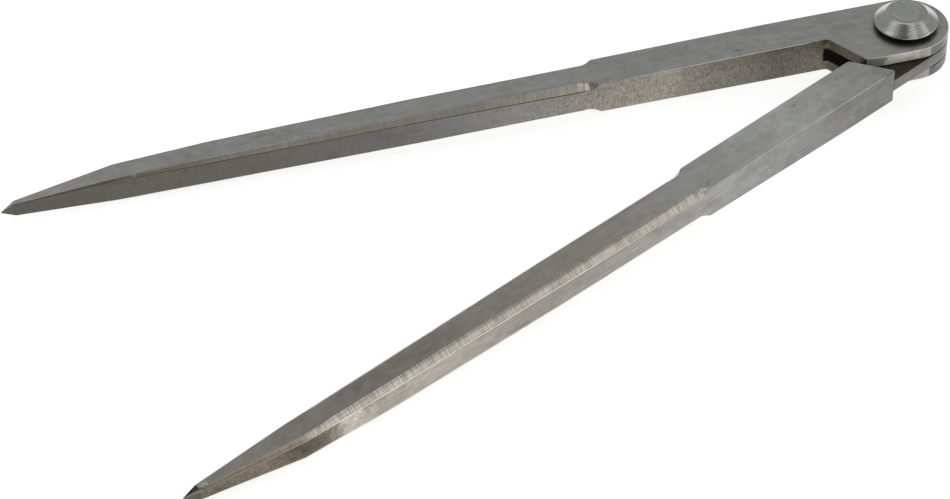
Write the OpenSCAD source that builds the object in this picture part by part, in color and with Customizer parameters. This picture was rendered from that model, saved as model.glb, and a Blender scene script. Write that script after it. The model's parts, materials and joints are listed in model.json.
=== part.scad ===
// Firm-joint dividers: two solid steel legs that end in points. The head of one leg is slotted
// and takes the tongue of the other. A rivet with a conical washer and a spring washer at
// each end holds them together, and the legs stay at whatever angle they are set to.
//
// The pivot axis is Z through the origin, and z = 0 is the flat underside of the lower conical
// washer. The legs spread about -X: the fork leg on the +Y side, the tongue leg on the -Y side.

/* [Legs] */
// Length of each leg, from the pivot axis to its point
leg_length = 200; // [160:5:240]
// Thickness of the steel at the head
stock_t = 8.2; // [7.6:0.2:9]
// Angle between the inner faces of the legs
opening_angle = 27.2; // [0:0.1:180]
// Where the long chamfers start, as a share of the leg's length
chamfer_start = 0.363; // [0.25:0.001:0.5]
// Radius of the scoop in which each chamfer runs out towards the head
scoop_r = 5; // [3:0.5:8]
// How far the scoop bites below the chamfer's face
scoop_bite = 0.04; // [0.02:0.01:0.1]
// Gap left between the inner faces of the closed legs
closed_gap = 0.1; // [0.05:0.05:0.4]

/* [Head] */
// Diameter of each leg's round head
head_d = 18.7; // [17.5:0.1:20]
// Width of the slot in the fork leg
slot_w = 3.2; // [2.8:0.1:3.6]
// Play between the tongue and each wall of the slot
tongue_play = 0.1; // [0.05:0.05:0.2]
// Distance from the pivot to the inside corner of the fork leg's cheeks
fork_notch = 18; // [17.5:0.1:18.2]
// Distance from the pivot to the outside corner of the fork leg's cheeks
fork_cheek = 12.4; // [11:0.1:12.6]
// Distance from the pivot to the inner end of the tongue leg's shoulder
tongue_notch = 18.5; // [18.4:0.1:20]
// Distance from the pivot to the outer end of the tongue leg's shoulder
tongue_cheek = 13.6; // [13.4:0.1:15]
// How far the slot runs past the inside corner of the cheeks
slot_overrun = 0.8; // [0.6:0.1:2]
// Radius of the fillet in the inside corner of the fork leg's cheeks
notch_fillet = 1.2; // [0.6:0.1:1.2]
// Length of the flat ground on the straight side of the cheeks, at their outside corner
relief_l = 3; // [1:0.5:5]
// Depth of that flat at the corner
relief_d = 0.25; // [0.1:0.05:0.4]
// Length cut from each edge at both corners of the tongue leg's shoulder
shoulder_facet = 0.3; // [0.2:0.1:0.6]

/* [Rivet and washers] */
// Diameter of the rivet
rivet_d = 6; // [5:0.1:6.4]
// Diameter of the rivet's peened ends
peened_d = 7; // [6.6:0.1:7.6]
// Depth of the countersink that the peened end fills
peened_h = 0.9; // [0.5:0.1:1.2]
// Running clearance between the rivet and the tongue's bore, on the radius
bore_clearance = 0.05; // [0.02:0.01:0.1]
// Diameter of the conical washer's rim
cone_rim_d = 14; // [12.5:0.1:15]
// Diameter of the conical washer's flat top
cone_flat_d = 8.8; // [8.2:0.1:10]
// Height of the conical washer
cone_h = 2.5; // [2:0.1:3]
// Height of the straight rim under the cone
cone_rim_h = 0.25; // [0.1:0.05:0.5]
// Outer diameter of the spring washer
spring_d = 12.6; // [11.5:0.1:13]
// Height of the fitted spring washer, dish included
spring_h = 1.1; // [0.9:0.1:1.3]
// Thickness of the spring washer's steel
spring_t = 0.75; // [0.5:0.05:0.8]

/* [Hidden] */
$fn = 96;

head_r = head_d / 2;
inner = closed_gap / 2;
washers_h = spring_h + cone_h;
mid_z = washers_h + stock_t / 2;
tongue_t = slot_w - 2 * tongue_play;
cut = 3 * head_d;

// The leg's shape along its length. Each row holds a share of the leg's length, the width there
// as a share of the head's radius, the thickness as a share of the stock, and the setback in
// millimetres of the chamfers on the outer edges, then of those on the inner edges.
SHAPE = [
    [0, 1, 1, 0, 0],
    [0.15, 1, 1, 0, 0],
    [chamfer_start, 0.94, 0.935, 1.35, 1.35],
    [0.55, 0.88, 0.935, 1.12, 1.12],
    [0.775, 0.765, 0.85, 0.95, 0.95],
    [0.877, 0.652, 0.715, 0.78, 0.48],
    [0.985, 0.2, 0.37, 0.5, 0.08],
    [1, 0.02, 0.025, 0.05, 0.05]
];
// The first row of SHAPE that is chamfered
first_chamfer = 2;
rows = len(SHAPE);

function station(i) = SHAPE[i][0] * leg_length;
function width(i) = SHAPE[i][1] * head_r;
function half_t(i) = SHAPE[i][2] * stock_t / 2;
function outer_setback(i) = SHAPE[i][3];
function inner_setback(i) = SHAPE[i][4];

// Bounds of the chamfered section along a line at 45 degrees to both faces
function diagonal_high(i) = (width(i) + half_t(i) - outer_setback(i)) / sqrt(2);
function diagonal_low(i) = (inner - half_t(i) + inner_setback(i)) / sqrt(2);

function polar(r, a) = [r * cos(a), r * sin(a)];
function bearing(from, to) = atan2(to[1] - from[1], to[0] - from[0]);

// ---- Leg frame: X from the pivot to the point, Y outwards from the inner face, Z = 0 mid-plane

// The two ends of the facet that breaks the corner at p, whose edges leave it at the angles a and b
function facet(p, a, b, size) = [p + polar(size, a), p + polar(size, b)];

// The leg seen from the side: parallel at the head, then thinner towards the point
module side_view() {
    polygon(concat(
        [[-head_d, -stock_t / 2], [-head_d, stock_t / 2]],
        [for (i = [1 : rows - 1]) [station(i), half_t(i)]],
        [for (i = [rows - 1 : -1 : 1]) [station(i), -half_t(i)]]
    ));
}

// The round scoop at the head's end of a chamfer, which bites just below the chamfer's face
module scoop(level, side) {
    translate([station(first_chamfer), level + side * (scoop_r - scoop_bite)]) circle(scoop_r);
}

// The leg seen along one pair of its chamfers
module diagonal_view() {
    far = leg_length + cut;
    difference() {
        translate([-head_d, -cut / 2]) square([leg_length + 2 * head_d, cut]);
        polygon(concat(
            [[station(first_chamfer), cut]],
            [for (i = [first_chamfer : rows - 1]) [station(i), diagonal_high(i)]],
            [[far, diagonal_high(rows - 1)], [far, cut]]
        ));
        polygon(concat(
            [[station(first_chamfer), -cut]],
            [for (i = [first_chamfer : rows - 1]) [station(i), diagonal_low(i)]],
            [[far, diagonal_low(rows - 1)], [far, -cut]]
        ));
        scoop(diagonal_high(first_chamfer), 1);
        scoop(diagonal_low(first_chamfer), -1);
    }
}

// Everything inside the four chamfers and between the top and bottom faces
module leg_envelope() {
    intersection() {
        rotate([90, 0, 0]) linear_extrude(cut, center = true) side_view();
        rotate([45, 0, 0]) linear_extrude(cut, center = true) diagonal_view();
        rotate([-45, 0, 0]) linear_extrude(cut, center = true) diagonal_view();
    }
}

module slab(height) {
    linear_extrude(height, center = true) children();
}

module round_head(height) {
    cylinder(h = height, r = head_r, center = true);
}

module bore(r) {
    cylinder(h = 2 * stock_t, r = r, center = true);
}

// The fork leg seen from above: a straight side at the head, cut off on the slant where the
// other leg's shoulder closes against it, with a fillet in the inside corner
module fork_plan() {
    notch = [fork_notch, inner];
    cheek = [fork_cheek, -head_r];
    slant = bearing(cheek, notch);
    half = (180 - slant) / 2;
    reach = notch_fillet / tan(half);
    fillet = notch + polar(notch_fillet / sin(half), -half);
    difference() {
        polygon(concat(
            [[0, -head_r], [0, head_r]],
            [for (i = [1 : rows - 1]) [station(i), width(i)]],
            [[leg_length, inner], notch + [reach, 0], fillet, notch - polar(reach, slant)],
            [cheek + polar(relief_d / sin(slant), slant), cheek - [relief_l, 0]]
        ));
        translate(fillet) circle(notch_fillet);
    }
}

module fork_blank() {
    slot_end = fork_notch + slot_overrun;
    difference() {
        union() {
            intersection() {
                slab(2 * stock_t) fork_plan();
                leg_envelope();
            }
            round_head(stock_t);
        }
        translate([slot_end - cut, -cut / 2, -slot_w / 2]) cube([cut, cut, slot_w]);
        bore(rivet_d / 2);
    }
}

// The tongue leg's full-thickness part seen from above
module shoulder_plan() {
    notch = [tongue_notch, inner];
    cheek = [tongue_cheek, head_r];
    slant = bearing(cheek, notch);
    polygon(concat(
        facet(cheek, slant, 0, shoulder_facet),
        [for (i = [1 : rows - 1]) [station(i), width(i)]],
        [[leg_length, inner]],
        facet(notch, 0, slant + 180, shoulder_facet)
    ));
}

// The web that joins the tongue's round head to the shoulder, seen from above
module web_plan() {
    root = tongue_notch + slot_overrun;
    polygon([[0, inner], [0, head_r], [tongue_cheek, head_r], [root, head_r / 2], [root, inner]]);
}

module tongue_blank() {
    difference() {
        union() {
            intersection() {
                slab(2 * stock_t) shoulder_plan();
                leg_envelope();
            }
            slab(tongue_t) web_plan();
            round_head(tongue_t);
        }
        bore(rivet_d / 2 + bore_clearance);
    }
}

// ---- Pivot stack, with z = 0 on the mid-plane of the legs

// Section of the conical washer, outside face up, standing on z = 0
module cone_section() {
    polygon([
        [rivet_d / 2, 0], [cone_rim_d / 2, 0], [cone_rim_d / 2, cone_rim_h],
        [cone_flat_d / 2, cone_h], [peened_d / 2, cone_h], [rivet_d / 2, cone_h - peened_h]
    ]);
}

// Section of the dished spring washer: its outer edge bears on the head, its inner edge lifts
module spring_section() {
    lift = spring_h - spring_t;
    polygon([
        [rivet_d / 2, lift], [spring_d / 2, 0], [spring_d / 2, spring_t], [rivet_d / 2, spring_h]
    ]);
}

module cone_washer() {
    translate([0, 0, stock_t / 2 + spring_h]) rotate_extrude() cone_section();
}

module spring_washer() {
    translate([0, 0, stock_t / 2]) rotate_extrude() spring_section();
}

// Half of the rivet, from the mid-plane up to its peened end
module half_rivet() {
    top = stock_t / 2 + washers_h;
    rotate_extrude() polygon([
        [0, 0], [rivet_d / 2, 0], [rivet_d / 2, top - peened_h], [peened_d / 2, top], [0, top]
    ]);
}

module at_mid_plane() {
    translate([0, 0, mid_z]) children();
}

module below() {
    mirror([0, 0, 1]) children();
}

// ---- Nodes

module fork_leg() {
    color("#8f8b84") at_mid_plane() rotate([0, 0, 180 - opening_angle / 2]) mirror([0, 1, 0])
        fork_blank();
}

module tongue_leg() {
    color("#a39e95") at_mid_plane() rotate([0, 0, 180 + opening_angle / 2]) tongue_blank();
}

module pivot_rivet() {
    color("#b3aea6") at_mid_plane() {
        half_rivet();
        below() half_rivet();
    }
}

module upper_cone_washer() {
    color("#9b968e") at_mid_plane() cone_washer();
}

module lower_cone_washer() {
    color("#9b968e") at_mid_plane() below() cone_washer();
}

module upper_spring_washer() {
    color("#4c463f") at_mid_plane() spring_washer();
}

module lower_spring_washer() {
    color("#4c463f") at_mid_plane() below() spring_washer();
}

fork_leg();
tongue_leg();
pivot_rivet();
upper_cone_washer();
lower_cone_washer();
upper_spring_washer();
lower_spring_washer();
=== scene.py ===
"""Steel firm-joint dividers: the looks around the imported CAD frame. Lengths are in metres."""

import json
import math

import bmesh
import bpy
from mathutils import Matrix, Vector, noise


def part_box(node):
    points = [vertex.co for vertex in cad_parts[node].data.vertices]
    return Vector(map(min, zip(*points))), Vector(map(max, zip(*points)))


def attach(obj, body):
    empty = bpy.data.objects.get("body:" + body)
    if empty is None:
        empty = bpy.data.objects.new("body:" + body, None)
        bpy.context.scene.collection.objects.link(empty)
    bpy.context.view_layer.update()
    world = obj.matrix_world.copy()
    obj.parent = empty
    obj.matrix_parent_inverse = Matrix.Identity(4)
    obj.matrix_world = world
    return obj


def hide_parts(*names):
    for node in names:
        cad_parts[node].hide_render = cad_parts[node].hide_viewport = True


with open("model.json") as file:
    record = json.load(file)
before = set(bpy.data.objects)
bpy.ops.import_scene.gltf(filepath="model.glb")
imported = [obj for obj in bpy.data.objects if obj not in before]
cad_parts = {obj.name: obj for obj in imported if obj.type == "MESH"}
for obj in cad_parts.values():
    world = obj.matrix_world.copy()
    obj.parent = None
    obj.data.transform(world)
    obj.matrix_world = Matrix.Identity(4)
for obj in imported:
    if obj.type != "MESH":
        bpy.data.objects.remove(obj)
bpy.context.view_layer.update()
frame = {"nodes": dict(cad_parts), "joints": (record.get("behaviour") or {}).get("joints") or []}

MM = 0.001
UP = Vector((0, 0, 1))
NODES = frame["nodes"]

# ---- Sizes taken from the frame

# The hinge's lower limit closes the legs, so it is the angle between them at rest
HALF_OPENING = math.radians(-frame["joints"][0]["range_deg"][0] / 2)
FORK_LOW, FORK_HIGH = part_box("fork_leg")
MID_Z = (FORK_LOW.z + FORK_HIGH.z) / 2
HALF_STOCK = (FORK_HIGH.z - FORK_LOW.z) / 2
HEAD_R = FORK_HIGH.x
LEG_LENGTH = -FORK_LOW.x / math.cos(HALF_OPENING)


def add_object(name, data):
    made = bpy.data.objects.new(name, data)
    bpy.context.scene.collection.objects.link(made)
    return made


# ---- Camera: the view of the whole dividers, points to the left. Angles are in degrees.

VIEW_AZIMUTH, VIEW_ELEVATION, VIEW_ROLL = -26.382, 41.621, -2.734
VIEW_DISTANCE = 0.57123
VIEW_TARGET = Vector((-0.11453, -0.01325, MID_Z))
# Focal length and the sensor's width, in millimetres
LENS, SENSOR_WIDTH = 106.325, 36
CLIP_START, CLIP_END = 0.01, 20


def towards(azimuth, elevation):
    """The direction of a place seen from the dividers. Azimuth 0 is on the -Y side, 90 on +X."""
    azimuth, elevation = math.radians(azimuth), math.radians(elevation)
    return Vector((math.sin(azimuth) * math.cos(elevation),
                   -math.cos(azimuth) * math.cos(elevation), math.sin(elevation)))


def add_camera():
    back = towards(VIEW_AZIMUTH, VIEW_ELEVATION)
    level = towards(VIEW_AZIMUTH + 90, 0)
    upright = back.cross(level)
    roll = math.radians(VIEW_ROLL)
    right = math.cos(roll) * level + math.sin(roll) * upright
    top = math.cos(roll) * upright - math.sin(roll) * level
    camera = add_object("camera", bpy.data.cameras.new("camera"))
    camera.data.lens, camera.data.sensor_width = LENS, SENSOR_WIDTH
    camera.data.clip_start, camera.data.clip_end = CLIP_START, CLIP_END
    camera.matrix_world = Matrix.Translation(VIEW_TARGET + back * VIEW_DISTANCE) @ Matrix(
        (right, top, back)).transposed().to_4x4()
    bpy.context.scene.camera = camera


# ---- Shader helpers

class Shader:
    """A material's node tree, with short calls for the nodes that this script uses.

    Every pattern is placed by the mesh attribute "place", in millimetres. On a leg it runs
    along the leg, outwards and upwards; on a turned piece it is radius, arc and height.
    """

    def __init__(self, name, metal=1.0):
        self.material = bpy.data.materials.new(name)
        self.material.use_nodes = True
        self.tree = self.material.node_tree
        self.bsdf = self.tree.nodes["Principled BSDF"]
        self.bsdf.inputs["Metallic"].default_value = metal

    def put(self, socket, value):
        if isinstance(value, bpy.types.NodeSocket):
            self.tree.links.new(value, socket)
        else:
            socket.default_value = value

    def add(self, kind, inputs=None, **settings):
        made = self.tree.nodes.new(kind)
        for key, value in settings.items():
            setattr(made, key, value)
        for key, value in (inputs or {}).items():
            self.put(made.inputs[key], value)
        return made

    def place(self, scale):
        source = self.add("ShaderNodeAttribute", attribute_name="place")
        return self.add("ShaderNodeMapping", {
            "Vector": source.outputs["Vector"], "Scale": scale}).outputs["Vector"]

    def leg_share(self):
        """The distance along the leg, as a share of its length."""
        scale = (1 / (LEG_LENGTH / MM),) * 3
        return self.add("ShaderNodeSeparateXYZ", {"Vector": self.place(scale)}).outputs["X"]

    def noise(self, scale, detail, roughness, distortion=0.0):
        return self.add("ShaderNodeTexNoise", {
            "Vector": self.place(scale), "Scale": 1.0, "Detail": detail,
            "Roughness": roughness, "Distortion": distortion}).outputs["Fac"]

    def ramp(self, value, stops):
        made = self.add("ShaderNodeValToRGB", {"Fac": value})
        elements = made.color_ramp.elements
        while len(elements) < len(stops):
            elements.new(0.5)
        for element, (position, level) in zip(elements, stops):
            element.position = position
            element.color = (level, level, level, 1) if isinstance(level, float) else (*level, 1)
        return made.outputs["Color"]

    def maths(self, operation, a, b):
        made = self.add("ShaderNodeMath", operation=operation)
        self.put(made.inputs[0], a)
        self.put(made.inputs[1], b)
        return made.outputs[0]

    def mix(self, share, a, b, blend="MIX"):
        made = self.add("ShaderNodeMix", data_type="RGBA", blend_type=blend)
        self.put(made.inputs["Factor"], share)
        for name, value in (("A", a), ("B", b)):
            self.put(made.inputs[name], (*value, 1) if isinstance(value, tuple) else value)
        return made.outputs["Result"]

    def multiply(self, colour, pattern, stops):
        """The colour times the levels that the stops give the pattern."""
        return self.mix(1.0, colour, self.ramp(pattern, stops), "MULTIPLY")

    def finish(self, colour, roughness, height, depth):
        """The finished material. depth is how deep its marks are, in millimetres."""
        self.put(self.bsdf.inputs["Base Color"], colour)
        self.put(self.bsdf.inputs["Roughness"], roughness)
        self.put(self.bsdf.inputs["Normal"], self.add("ShaderNodeBump", {
            "Height": height, "Distance": depth * MM, "Strength": 1.0}).outputs["Normal"])
        return self.material


# ---- Steel

GREY = (1.0, 1.01, 0.975)
WARM = (1.05, 1.0, 0.90)
BROWN = (1.12, 1.0, 0.80)
REDDER = (1.05, 0.96, 0.93)
TARNISH = (0.085, 0.062, 0.040)
# The dark ring on the head around the washers' rims: partly grime, partly painted shadow under the
# rims
GRIME_AND_SHADE = (0.050, 0.042, 0.030)

# How fine each pattern is along the three axes of the place, per millimetre
LENGTHWISE = (0.05, 2.6, 2.6)
CROSSWISE = (2.6, 0.5, 0.25)
SPECKLE = (1.6, 1.6, 1.6)
BROAD_CLOUDS = (0.09, 0.22, 0.22)
CLOUDS = (0.35, 0.5, 0.5)
HUES = (0.5, 0.9, 0.9)
SPOTS = (1.9, 1.3, 1.1)
PITS = (1.1, 1.1, 1.1)
CHATTER = (4.3, 0.14, 0.14)
CHATTER_GROUPS = (0.16, 0.4, 0.4)

# The strength of the grime and painted shadow at distances from the pivot, in millimetres, and a
# reach beyond them all
GRIME_AND_SHADE_STOPS = [(7.3, 0.5), (7.7, 0.2), (8.6, 0.0)]
GRIME_AND_SHADE_REACH = 20.0


def shade(level, tint=(1.0, 1.0, 1.0)):
    return tuple(level * c for c in tint)


def toned(shader, tone, cloud):
    """The colour along the leg, whose stops wander a little with the clouds."""
    wander = shader.maths("MULTIPLY", shader.maths("SUBTRACT", cloud, 0.5), 0.05)
    return shader.ramp(shader.maths("ADD", shader.leg_share(), wander), tone)


def stained(shader, colour, broad, cloud, stain):
    """Soft redder areas, and brown patches where both patterns of clouds are high."""
    redder = shader.mix(1.0, colour, REDDER, "MULTIPLY")
    hue = shader.ramp(shader.noise(HUES, 2.0, 0.5), [(0.40, 0.0), (0.62, 0.35)])
    patches = shader.maths("MULTIPLY", shader.ramp(broad, [(0.52, 0.0), (0.70, 1.0)]),
                           shader.ramp(cloud, [(0.45, 0.2), (0.65, 1.0)]))
    return shader.mix(shader.maths("MULTIPLY", patches, stain),
                      shader.mix(hue, colour, redder), TARNISH)


def spotted(shader, colour, speckle, speckled):
    """Small warm and bright spots where the stops in speckled allow them, and long streaks."""
    spots = shader.multiply(colour, shader.noise(SPOTS, 4.0, 0.8, 0.5), [
        (0.38, shade(1 - speckle, WARM)), (0.60, shade(1 + 0.4 * speckle))])
    colour = shader.mix(shader.ramp(shader.leg_share(), speckled), colour, spots)
    streaks = shader.noise(LENGTHWISE, 4.0, 0.7)
    return shader.multiply(colour, streaks, [(0.3, 1 - 0.5 * speckle), (0.7, 1.0)])


def pitted(shader, colour):
    pits = shader.ramp(shader.noise(PITS, 2.0, 0.5), [(0.73, 0.0), (0.79, 0.55)])
    return shader.mix(pits, colour, TARNISH)


def ticked(shader, colour, chatter, ticks):
    """Dark chatter marks across the face, in loose groups."""
    groups = shader.noise(CHATTER_GROUPS, 3.0, 0.6)
    marks = shader.maths("MULTIPLY", shader.ramp(chatter, [(0.42, 1.0), (0.56, 0.0)]),
                         shader.ramp(groups, [(0.36, 0.55), (0.62, 1.0)]))
    return shader.mix(shader.maths("MULTIPLY", marks, ticks), colour, shade(0.20, BROWN))


def ring_of_grime_and_shade(shader, colour, cloud):
    """A ring of grime and painted shadow around the washers, with an uneven edge."""
    flat = shader.add("ShaderNodeVectorMath", {0: shader.place((1.0, 1.0, 0.0))},
                      operation="LENGTH").outputs["Value"]
    reach = shader.maths("ADD", flat, shader.maths("MULTIPLY", cloud, 1.2))
    near = shader.ramp(shader.maths("DIVIDE", reach, GRIME_AND_SHADE_REACH),
                       [(radius / GRIME_AND_SHADE_REACH, level) for radius, level in GRIME_AND_SHADE_STOPS])
    return shader.mix(near, colour, GRIME_AND_SHADE)


def ground_steel(name, tone, rough, contrast, lines=LENGTHWISE, depth=0.010, mottle=0.12,
                 stain=0.35, speckle=0.0, speckled=(), grime_and_shade_ring=False, ticks=0.0, metal=1.0):
    """Ground steel. tone gives its brightness along the leg as (share of length, colour) stops.

    lines scales the grinding marks, contrast is how strongly they show, mottle is the strength
    of the soft clouds, stain that of the brown patches, speckle that of small spots where the
    stops in speckled allow them, and ticks that of the chatter marks. metal is below 1 where
    the tone is to show mostly as diffuse colour: on the cheek, a painted highlight.
    """
    shader = Shader(name, metal)
    fine = shader.noise(lines, 4.0, 0.7)
    broad = shader.noise(BROAD_CLOUDS, 3.0, 0.55, 0.3)
    cloud = shader.noise(CLOUDS, 4.0, 0.65, 0.5)
    colour = toned(shader, tone, cloud)
    for pattern, strength in ((fine, contrast), (broad, mottle), (cloud, mottle)):
        colour = shader.multiply(colour, pattern, [(0.25, 1 - strength), (0.75, 1.0)])
    colour = stained(shader, colour, broad, cloud, stain)
    if speckle:
        colour = spotted(shader, colour, speckle, speckled)
    colour = pitted(shader, colour)
    height = fine
    if ticks:
        chatter = shader.noise(CHATTER, 2.0, 0.6, 0.2)
        colour = ticked(shader, colour, chatter, ticks)
        height = shader.maths("ADD", fine, shader.maths("MULTIPLY", chatter, 1.5))
    # A dark ring around the washers, partly grime and partly painted shadow
    if grime_and_shade_ring:
        colour = ring_of_grime_and_shade(shader, colour, cloud)
    roughness = shader.maths("ADD", shader.maths("MULTIPLY", cloud, 0.14), rough - 0.07)
    return shader.finish(colour, roughness, height, depth)


def turned_steel(name, level, rough, rings, depth, dirt):
    """Steel turned on a lathe, with fine rings about the pivot axis and dirt in its pits."""
    shader = Shader(name)
    fine = shader.noise((rings, 0.15, rings), 3.0, 0.7)
    cloud = shader.noise((0.5, 0.5, 0.5), 4.0, 0.65, 0.3)
    pits = shader.noise((1.8, 1.4, 1.8), 2.0, 0.6)
    colour = shader.mix(shader.ramp(fine, [(0.3, 0.0), (0.7, 1.0)]),
                        shade(0.82 * level, GREY), shade(1.14 * level, GREY))
    colour = shader.mix(shader.ramp(cloud, [(0.42, 0.0), (0.62, 0.4)]), colour,
                        shade(0.75 * level, WARM))
    colour = shader.mix(shader.ramp(pits, [(0.62, 0.0), (0.76, dirt)]), colour, TARNISH)
    roughness = shader.maths("ADD", shader.maths("MULTIPLY", cloud, 0.18), rough - 0.09)
    return shader.finish(colour, roughness, fine, depth)


# ---- Legs: how bright and how brown each kind of face is along the leg

def tones(*stops):
    """Colour stops from (share of the leg's length, brightness, tint) triples."""
    return [(share, shade(level, tint)) for share, level, tint in stops]


def even(level, tint):
    return tones((0.0, level, tint), (1.0, level, tint))


# Much of the brightness in these tables is painted light and shade: each kind of face has its own
# level, which rises and falls along the leg with the light that face catches
FORK_FLAT = tones((0.0, 0.68, GREY), (0.86, 0.68, GREY), (1.0, 0.74, WARM))
# The tongue's top is lighter near the head and darker towards the point: painted reflection
TONGUE_FLAT = tones(
    (0.07, 0.66, GREY), (0.12, 0.77, GREY), (0.22, 0.94, GREY), (0.34, 0.76, GREY),
    (0.50, 0.60, WARM), (0.64, 0.57, WARM), (0.74, 0.46, WARM), (0.90, 0.49, WARM),
    (1.0, 0.45, WARM))
# The outer faces' levels along the leg are partly painted light
OUTER_TO_MIDDLE = tones(
    (0.07, 0.33, GREY), (0.20, 0.45, GREY), (0.32, 0.6, GREY), (0.60, 0.50, WARM))
FORK_OUTER = OUTER_TO_MIDDLE + tones((0.73, 0.71, WARM), (0.86, 0.68, WARM), (1.0, 0.27, BROWN))
TONGUE_OUTER = OUTER_TO_MIDDLE + tones(
    (0.72, 0.72, WARM), (0.79, 0.64, WARM), (0.828, 1.0, WARM), (0.85, 0.32, BROWN),
    (0.88, 0.20, BROWN), (0.91, 0.32, BROWN), (1.0, 0.27, BROWN))
# The inner face: its levels along the leg are painted light and shade, and the dark brown near the
# notch is partly stain and partly painted shade
INNER = tones(
    (0.06, 0.14, BROWN), (0.088, 0.14, BROWN), (0.096, 0.26, BROWN), (0.12, 0.27, WARM),
    (0.145, 0.22, WARM), (0.19, 0.31, WARM), (0.235, 0.36, WARM), (0.275, 0.53, WARM),
    (0.34, 0.46, WARM), (0.43, 0.41, GREY), (0.56, 0.25, GREY), (0.72, 0.21, WARM),
    (1.0, 0.18, WARM))
# The bright first stop is a painted highlight where the chamfer starts
FORK_CHAMFER = tones(
    (0.36, 0.86, WARM), (0.374, 0.48, WARM), (0.45, 0.38, WARM), (0.50, 0.31, WARM),
    (0.62, 0.33, WARM), (0.74, 0.40, WARM), (0.86, 0.24, BROWN), (1.0, 0.18, BROWN))
# The bright first stop is a painted highlight where the chamfer starts
TONGUE_CHAMFER = tones(
    (0.353, 1.0, WARM), (0.359, 0.52, WARM), (0.372, 0.54, WARM), (0.39, 0.61, WARM),
    (0.60, 0.56, WARM), (0.80, 0.70, WARM), (0.85, 0.80, WARM), (0.88, 0.42, BROWN),
    (1.0, 0.27, BROWN))
# The cheek's cream band is a painted highlight: bright where the face catches the light, greyer
# where it rounds away
CHEEK = tones(
    (0.0, 0.50, WARM), (0.014, 0.90, WARM), (0.038, 1.0, WARM), (0.044, 0.45, WARM),
    (1.0, 0.45, WARM))
# The bright bands along the edges are painted highlights; near the notch the edges turn dark brown
FORK_EDGE = tones(
    (0.0, 1.0, WARM), (0.055, 0.9, WARM), (0.064, 0.20, BROWN), (0.095, 0.20, BROWN),
    (0.13, 0.9, WARM), (0.30, 0.8, WARM), (0.33, 0.42, WARM), (1.0, 0.42, WARM))
# The bright bands along the tongue's edges are painted highlights
TONGUE_EDGE = tones(
    (0.0, 0.25, WARM), (0.072, 0.25, WARM), (0.082, 0.80, WARM), (0.40, 0.60, WARM),
    (0.52, 1.0, WARM), (0.84, 1.0, WARM), (0.88, 0.30, BROWN), (1.0, 0.25, BROWN))

# The kinds of face, numbered in the order of a leg's materials
(IS_FLAT, IS_OUTER, IS_INNER, IS_CHAMFER, IS_JOINT, IS_CHEEK, IS_EDGE,
 IS_BROWN_EDGE) = range(8)


def leg_materials(flat, outer, chamfer, edge):
    """One material for each kind of face, from the tones that differ from leg to leg."""
    return [
        ground_steel("steel_flat", flat, 0.36, 0.16, grime_and_shade_ring=True, mottle=0.28, stain=0.6),
        ground_steel("steel_outer", outer, 0.34, 0.22, mottle=0.35, speckle=0.35,
                     speckled=[(0.66, 0.0), (0.86, 1.0)]),
        ground_steel("steel_inner", INNER, 0.42, 0.3, CROSSWISE, depth=0.02, mottle=0.2,
                     stain=0.3, speckle=0.36, speckled=[(0.38, 1.0), (0.50, 0.1)]),
        ground_steel("steel_chamfer", chamfer, 0.32, 0.15, CROSSWISE, depth=0.015, ticks=0.7),
        # Slot faces and the tongue's faces between the cheeks: dark brown, partly oily stain and
        # partly painted shade
        ground_steel("steel_joint", even(0.14, BROWN), 0.55, 0.5, SPECKLE, depth=0.02,
                     mottle=0.3, stain=0.6, speckle=0.4, speckled=[(0.0, 1.0), (1.0, 1.0)]),
        ground_steel("steel_cheek", CHEEK, 0.58, 0.2, SPECKLE, mottle=0.1, stain=0.1, metal=0.2),
        ground_steel("steel_edge", edge, 0.30, 0.2, mottle=0.25),
        ground_steel("steel_brown_edge", even(0.16, BROWN), 0.40, 0.2, mottle=0.2),
    ]


# ---- Pieces

def add_piece(name, mesh, node, body):
    """Show a mesh in place of a CAD node. It moves with the body."""
    piece = add_object(name, mesh)
    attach(piece, body)
    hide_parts(node)
    return piece


# ---- Legs: the mesh

# Points closer than this are one point
MERGE = 0.001 * MM
# Widths of the broken edges
BREAK = 0.12 * MM
WIDE_BREAK = 0.30 * MM
# An edge that bends less than this isn't broken
SHARP = math.radians(12)
# The widest turn that is shaded as one surface, on a leg and on a turned piece
LEG_SMOOTH_TURN, TURNED_SMOOTH_TURN = math.radians(35), math.radians(40)
CHAMFER_FROM = 0.33 * LEG_LENGTH
EDGES_BROWN_FROM = 0.366 * LEG_LENGTH
# Cuts across the leg: the first, the limit and the step, as shares of its length
FULL_RINGS = (0.12, 0.33, 0.020)
CHAMFER_RINGS = (0.36, 0.975, 0.0075)
# How far and between which shares of the length the chamfers' edges waver, and how quickly
WAVER = 0.05 * MM
WAVER_FROM, WAVER_TO = 0.36, 0.86
WAVES_PER_MM = 0.35
# Where the chamfers' wide breaks start, and where they end between two kinds of face
WIDE_FROM = 0.375
WIDE_TO = {(IS_FLAT, IS_CHAMFER): 0.85, (IS_OUTER, IS_CHAMFER): 0.97}
# Where the narrow breaks end on the outer side of a leg and at its inner edges
OUTER_BREAKS_TO, INNER_BREAKS_TO = 0.98, 0.86
# The joint's inside faces lie this close to the mid-plane, and the slot's this near the pivot
JOINT_WITHIN = 0.45 * HALF_STOCK
SLOT_WITHIN = 20 * MM


class LegFrame:
    """Distances along a leg, outwards from its inner face and up from its mid-plane."""

    def __init__(self, side):
        angle = math.pi - side * HALF_OPENING
        self.along = Vector((math.cos(angle), math.sin(angle), 0))
        self.outward = Vector((-self.along.y, self.along.x, 0)) * -side

    def local(self, point):
        return Vector((point.dot(self.along), point.dot(self.outward), point.z - MID_Z))

    def direction(self, vector):
        return Vector((vector.dot(self.along), vector.dot(self.outward), vector.z))


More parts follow.
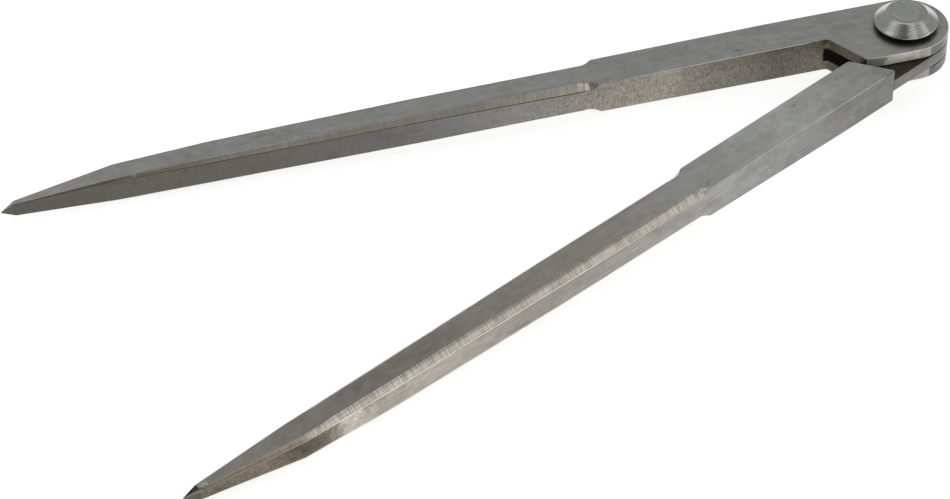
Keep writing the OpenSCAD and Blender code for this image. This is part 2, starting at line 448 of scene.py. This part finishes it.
def face_kind(face, leg, is_joint):
    centre, normal = leg.local(face.calc_center_median()), leg.direction(face.normal)
    if is_joint(centre, normal):
        return IS_JOINT
    if abs(normal.z) > 0.9:
        return IS_FLAT
    if abs(normal.z) > 0.3 and centre.x > CHAMFER_FROM:
        return IS_CHAMFER
    if normal.y < -0.97 and normal.x < 0.3 and centre.y < -0.5 * HEAD_R:
        return IS_CHEEK
    faces_in = normal.y < -0.9 and centre.y > -0.5 * HEAD_R
    return IS_INNER if faces_in or (normal.x > 0.3 and centre.x > HEAD_R) else IS_OUTER


def cut_rings(shape, leg, start, end, step):
    """Cut the leg across at even steps, given as shares of its length."""
    for i in range(int((end - start) / step) + 1):
        bmesh.ops.bisect_plane(
            shape, geom=shape.verts[:] + shape.edges[:] + shape.faces[:], dist=MERGE,
            plane_co=UP * MID_Z + leg.along * (start + i * step) * LEG_LENGTH,
            plane_no=leg.along)


def waver_chamfers(shape, leg):
    """Slide each chamfer's edges within the faces beside it, so that its width wavers."""
    for vertex in shape.verts:
        kinds = {face.material_index for face in vertex.link_faces}
        place = leg.local(vertex.co)
        if IS_CHAMFER not in kinds or not WAVER_FROM < place.x / LEG_LENGTH < WAVER_TO:
            continue
        outer = place.y > 0.3 * HEAD_R
        # The four chamfers waver each in its own way, so they read the noise in separate places
        spot = Vector((place.x / MM * WAVES_PER_MM, 7 * outer, 5 * (place.z > 0)))
        slide = WAVER * noise.noise(spot)
        if IS_FLAT in kinds:
            vertex.co += leg.outward * (-slide if outer else slide)
        elif kinds & {IS_INNER, IS_OUTER}:
            vertex.co.z -= math.copysign(slide, place.z)


def is_wide(edge, leg):
    """Whether an edge of a chamfer is worn wide: clear of the step and of the point."""
    kinds = tuple(sorted(face.material_index for face in edge.link_faces))
    shares = [leg.local(v.co).x / LEG_LENGTH for v in edge.verts]
    return WIDE_FROM < min(shares) and max(shares) < WIDE_TO.get(kinds, 0.0)


def is_broken(edge, leg):
    """Whether an edge gets its sharpness taken off: not in the bore, nor close to the point."""
    if not edge.is_manifold or edge.calc_face_angle() < SHARP:
        return False
    if any(face.material_index == IS_EDGE for face in edge.link_faces):
        return False
    ends = [leg.local(v.co) for v in edge.verts]
    in_bore = all(math.hypot(p.x, p.y) < 0.4 * HEAD_R for p in ends)
    limit = OUTER_BREAKS_TO if min(p.y for p in ends) > 0.1 * HEAD_R else INNER_BREAKS_TO
    return not in_bore and all(p.x < limit * LEG_LENGTH for p in ends)


def edge_look(face, centre):
    """A broken edge's look: grime and painted shade at the slot, a painted highlight only below the
    outer chamfer.
    """
    near = {f for edge in face.edges for f in edge.link_faces}
    beside = {f.material_index for f in near}
    if centre.x < EDGES_BROWN_FROM:
        two_away = {f.material_index for n in near if n.material_index == IS_EDGE
                    for edge in n.edges for f in edge.link_faces}
        return IS_JOINT if IS_JOINT in beside | two_away else IS_EDGE
    if centre.y < 0.2 * MM:
        return IS_BROWN_EDGE
    return IS_EDGE if IS_OUTER in beside else IS_CHAMFER


def ground_leg(node, leg, is_joint):
    """A copy of the CAD leg with each face's kind marked, cut across and its chamfers uneven."""
    shape = bmesh.new()
    shape.from_mesh(NODES[node].data)
    bmesh.ops.remove_doubles(shape, verts=shape.verts, dist=MERGE)
    bmesh.ops.dissolve_limit(shape, angle_limit=math.radians(0.3), verts=shape.verts,
                             edges=shape.edges)
    shape.normal_update()
    for face in shape.faces:
        face.material_index = face_kind(face, leg, is_joint)
    cut_rings(shape, leg, *FULL_RINGS)
    cut_rings(shape, leg, *CHAMFER_RINGS)
    waver_chamfers(shape, leg)
    shape.normal_update()
    return shape


def break_edges(shape, leg):
    """Take the sharpness off the edges, then choose each broken edge's look."""
    for width, segments, is_chosen in ((WIDE_BREAK, 3, is_wide), (BREAK, 2, is_broken)):
        bmesh.ops.bevel(shape, geom=[e for e in shape.edges if is_chosen(e, leg)], offset=width,
                        offset_type="OFFSET", segments=segments, profile=0.5, affect="EDGES",
                        clamp_overlap=False, material=IS_EDGE)
        shape.normal_update()
    edges = [face for face in shape.faces if face.material_index == IS_EDGE]
    looks = [edge_look(face, leg.local(face.calc_center_median())) for face in edges]
    for face, look in zip(edges, looks):
        face.material_index = look


def make_leg(node, side, body, is_joint, materials):
    """A leg with broken edges, and faces ground each in its own way."""
    leg = LegFrame(side)
    shape = ground_leg(node, leg, is_joint)
    break_edges(shape, leg)
    places = shape.verts.layers.float_vector.new("place")
    for vertex in shape.verts:
        vertex[places] = leg.local(vertex.co) / MM
    for face in shape.faces:
        face.smooth = True
    mesh = bpy.data.meshes.new(node + "_finished")
    shape.to_mesh(mesh)
    shape.free()
    for material in materials:
        mesh.materials.append(material)
    mesh.set_sharp_from_angle(angle=LEG_SMOOTH_TURN)
    piece = add_piece(node + "_finished", mesh, node, body)
    weighted = piece.modifiers.new("flat_faces", "WEIGHTED_NORMAL")
    weighted.keep_sharp = True
    weighted.weight = 100


def in_slot(centre, normal):
    inside = abs(centre.z) < JOINT_WITHIN and abs(centre.y) < 0.98 * HEAD_R
    return centre.x < SLOT_WITHIN and (abs(normal.z) > 0.9 or normal.x < -0.9) and inside


def on_tongue(centre, normal):
    return abs(normal.z) > 0.9 and abs(centre.z) < JOINT_WITHIN


# ---- Turned pieces: washers and rivet

TURNS = 192
EASE_STEPS = 3
GROOVE_PITCH, GROOVE_DEPTH = 0.35 * MM, 0.012 * MM
POINTS_PER_GROOVE = 4
# How far the rivet's end stands above the washer's flat top
RIVET_PROUD = 0.02 * MM


def section(node):
    """The points of a turned CAD piece's section, as (radius, height) pairs.

    They are its corners and some points along its sloping sides.
    """
    points = set()
    for vertex in NODES[node].data.vertices:
        point = NODES[node].matrix_world @ vertex.co
        points.add((round(math.hypot(point.x, point.y), 6), round(point.z, 6)))
    return points


CONE = section("upper_cone_washer")
CONE_BASE, CONE_TOP = min(z for _, z in CONE), max(z for _, z in CONE)
RIM_R = max(r for r, _ in CONE)
RIM_Z = max(z for r, z in CONE if r == RIM_R)
FLAT_R = max(r for r, z in CONE if z == CONE_TOP)
PEENED_R = min(r for r, z in CONE if z == CONE_TOP)
SHANK_R = min(r for r, _ in CONE)
SEAT_Z = max(z for r, z in CONE if r == SHANK_R)


def eased(profile, ease):
    """The closed profile with each corner rounded by a curve that starts ease away from it."""
    out = []
    count = len(profile)
    for i, size in enumerate(ease):
        here, before, after = (Vector(profile[j % count]) for j in (i, i - 1, i + 1))
        if not size:
            out.append(tuple(here))
            continue
        start = here + (before - here).normalized() * size
        end = here + (after - here).normalized() * size
        for k in range(EASE_STEPS + 1):
            t = k / EASE_STEPS
            out.append(tuple(start * (1 - t) ** 2 + here * 2 * t * (1 - t) + end * t * t))
    return out


def grooved(start, end):
    """Points along a straight side of a profile, with shallow turned grooves of uneven depth."""
    a, b = Vector(start), Vector(end)
    side = b - a
    normal = Vector((side.y, -side.x)).normalized()
    count = max(8, int(side.length / GROOVE_PITCH) * POINTS_PER_GROOVE)
    points = []
    for i in range(1, count):
        uneven = 0.4 + 0.6 * abs(math.sin(1.7 * i))
        in_groove = i % POINTS_PER_GROOVE in (1, 2)
        points.append(tuple(a + side * (i / count) - normal * GROOVE_DEPTH * in_groove * uneven))
    return points


def turned_mesh(name, profile):
    """The surface that a closed profile of (radius, height) points sweeps around the pivot."""
    vertices, faces, places = [], [], []
    count = len(profile)
    for turn in range(TURNS):
        angle = math.tau * turn / TURNS
        for radius, height in profile:
            radius = max(radius, 0.0)
            vertices.append((radius * math.cos(angle), radius * math.sin(angle), height))
            places.append((radius / MM, angle * radius / MM, height / MM))
    for turn in range(TURNS):
        for i in range(count):
            j, k = (i + 1) % count, (turn + 1) % TURNS
            faces.append((turn * count + i, k * count + i, k * count + j, turn * count + j))
    mesh = bpy.data.meshes.new(name)
    mesh.from_pydata(vertices, [], faces)
    layer = mesh.attributes.new("place", "FLOAT_VECTOR", "POINT")
    for item, place in zip(layer.data, places):
        item.vector = place
    return mesh


def lathe(node, profile, material):
    """A closed turned piece from its section, given as (radius, height) points."""
    mesh = turned_mesh(node + "_turned", profile)
    shape = bmesh.new()
    shape.from_mesh(mesh)
    bmesh.ops.remove_doubles(shape, verts=shape.verts, dist=MERGE / 2)
    bmesh.ops.delete(shape, geom=[e for e in shape.edges if not e.link_faces],
                     context="EDGES")
    bmesh.ops.recalc_face_normals(shape, faces=shape.faces)
    for face in shape.faces:
        face.smooth = True
    shape.to_mesh(mesh)
    shape.free()
    mesh.set_sharp_from_angle(angle=TURNED_SMOOTH_TURN)
    mesh.materials.append(material)
    add_piece(node + "_turned", mesh, node, "fork_side")


def flipped(profile):
    return [(radius, 2 * MID_Z - height) for radius, height in reversed(profile)]


def lathe_pair(name, profile, material):
    """A washer above the head and its mirror image below."""
    lathe("upper_" + name, profile, material)
    lathe("lower_" + name, flipped(profile), material)


def make_cone_washers():
    corners = [(SHANK_R, CONE_BASE), (RIM_R, CONE_BASE), (RIM_R, RIM_Z), (FLAT_R, CONE_TOP),
               (PEENED_R, CONE_TOP), (SHANK_R, SEAT_Z)]
    profile = eased(corners, [0.0, 0.08 * MM, 0.08 * MM, 0.22 * MM, 0.07 * MM, 0.0])
    slope = max(i for i, (r, z) in enumerate(profile) if r > 0.98 * RIM_R and z > CONE_BASE)
    profile[slope + 1:slope + 1] = grooved(profile[slope], profile[slope + 1])
    steel = turned_steel("turned_steel", 0.52, 0.20, rings=3.0, depth=0.007, dirt=0.6)
    lathe_pair("cone_washer", profile, steel)


def make_spring_washers():
    """The washers between the cones and the head.

    Known fault: the four points picked here are meant to be the corners of the washer's
    section, but points along its sides are among them. So these washers reach only to the
    middle of the CAD washer's width, they are too thin, and part of each is a flat fin.
    """
    spring = section("upper_spring_washer")
    middle = (min(r for r, _ in spring) + max(r for r, _ in spring)) / 2
    points = sorted(spring, key=lambda point: (point[0] > middle, point[1]))
    picked = [points[0], points[2], points[3], points[1]]
    profile = eased(picked, [0.0, 0.12 * MM, 0.12 * MM, 0.0])
    # The washers' low level and heavy dirt are partly dirty steel and partly painted shade of the
    # gap under the cone's rim
    dark = turned_steel("spring_steel", 0.35, 0.45, rings=2.0, depth=0.008, dirt=0.7)
    lathe_pair("spring_washer", profile, dark)


def make_rivet():
    end_z = CONE_TOP + RIVET_PROUD
    upper_half = [(0.0, MID_Z), (SHANK_R, MID_Z), (SHANK_R, SEAT_Z), (PEENED_R, CONE_TOP),
                  (0.6 * PEENED_R, end_z), (0.0, end_z)]
    upper_half = eased(upper_half, [0.0, 0.0, 0.0, 0.14 * MM, 0.5 * MM, 0.0])[1:]
    bright = turned_steel("rivet_steel", 0.53, 0.30, rings=2.2, depth=0.008, dirt=0.4)
    lathe("pivot_rivet", upper_half + flipped(upper_half), bright)


# ---- Lights, studio and floor

WINDOW_TINT = (1, 0.985, 0.95)
WHITE = (1, 1, 1)
FLOOR_HALF_SIZE = 3.0
# The floor lies this far below the dividers
FLOOR_GAP = 0.01 * MM


def softbox(name, azimuth, elevation, distance, size, radiance, colour=WHITE):
    """A soft light aimed at the middle of the dividers, of the given brightness."""
    away = towards(azimuth, elevation)
    data = bpy.data.lights.new(name, "AREA")
    data.shape = "RECTANGLE"
    data.size, data.size_y = size
    data.energy = radiance * math.pi * size[0] * size[1]
    data.color = colour
    light = add_object(name, data)
    light.matrix_world = Matrix.Translation(VIEW_TARGET + away * distance) @ (
        away.to_track_quat("Z", "Y").to_matrix().to_4x4())


def add_lights():
    softbox("front_window", 4, 48, 1.2, (0.55, 0.45), 0.9, WINDOW_TINT)
    softbox("right_window", 47, 24, 1.2, (0.62, 0.6), 1.05, WINDOW_TINT)
    softbox("left_window", -112, 54, 1.2, (0.5, 0.4), 0.45)
    softbox("overhead", 150, 84, 1.4, (1.2, 1.2), 0.6)


def add_studio():
    """Pale grey surroundings with a dark area high up on the camera's side."""
    world = bpy.data.worlds.new("studio")
    world.use_nodes = True
    nodes, links = world.node_tree.nodes, world.node_tree.links
    where = nodes.new("ShaderNodeTexCoord")
    share = nodes.new("ShaderNodeVectorMath")
    share.operation = "DOT_PRODUCT"
    share.inputs[1].default_value = towards(-34, 50)
    walls = nodes.new("ShaderNodeValToRGB")
    pale, dark = walls.color_ramp.elements
    pale.position, pale.color = 0.82, (0.41, 0.42, 0.42, 1)
    dark.position, dark.color = 0.94, (0.10, 0.10, 0.10, 1)
    links.new(where.outputs["Generated"], share.inputs[0])
    links.new(share.outputs["Value"], walls.inputs["Fac"])
    links.new(walls.outputs["Color"], nodes["Background"].inputs["Color"])
    bpy.context.scene.world = world
    bpy.context.scene.view_settings.view_transform = "Standard"


def floor_paper():
    """Pale paper with a glow of its own, which keeps it near white."""
    shader = Shader("floor_paper", 0.0)
    shader.put(shader.bsdf.inputs["Base Color"], (0.5, 0.5, 0.5, 1))
    shader.put(shader.bsdf.inputs["Roughness"], 0.9)
    shader.put(shader.bsdf.inputs["Emission Color"], (*WHITE, 1))
    shader.put(shader.bsdf.inputs["Emission Strength"], 0.78)
    return shader.material


def add_floor():
    """The plane that the dividers lie on: the lower washer's flat edge and the legs' undersides."""
    edge = -max(r for r, z in section("lower_cone_washer") if z < 0.0001 * MM)
    slopes = []
    for node in ("fork_leg", "tongue_leg"):
        for vertex in NODES[node].data.vertices:
            point = NODES[node].matrix_world @ vertex.co
            if point.x < edge - HEAD_R:
                slopes.append(point.z / (edge - point.x))
    mesh = bpy.data.meshes.new("floor")
    low, high = -FLOOR_HALF_SIZE, FLOOR_HALF_SIZE
    mesh.from_pydata([(low, low, 0), (high, low, 0), (high, high, 0), (low, high, 0)], [],
                     [(0, 1, 2, 3)])
    mesh.materials.append(floor_paper())
    floor = add_object("floor", mesh)
    floor.matrix_world = Matrix.Translation((edge, 0, -FLOOR_GAP)) @ Matrix.Rotation(
        math.atan(min(slopes)), 4, "Y")


# ---- Build

add_camera()
add_lights()
add_studio()
add_floor()
make_leg("fork_leg", 1, "fork_side", in_slot,
         leg_materials(FORK_FLAT, FORK_OUTER, FORK_CHAMFER, FORK_EDGE))
make_leg("tongue_leg", -1, "tongue_side", on_tongue,
         leg_materials(TONGUE_FLAT, TONGUE_OUTER, TONGUE_CHAMFER, TONGUE_EDGE))
make_cone_washers()
make_spring_washers()
make_rivet()
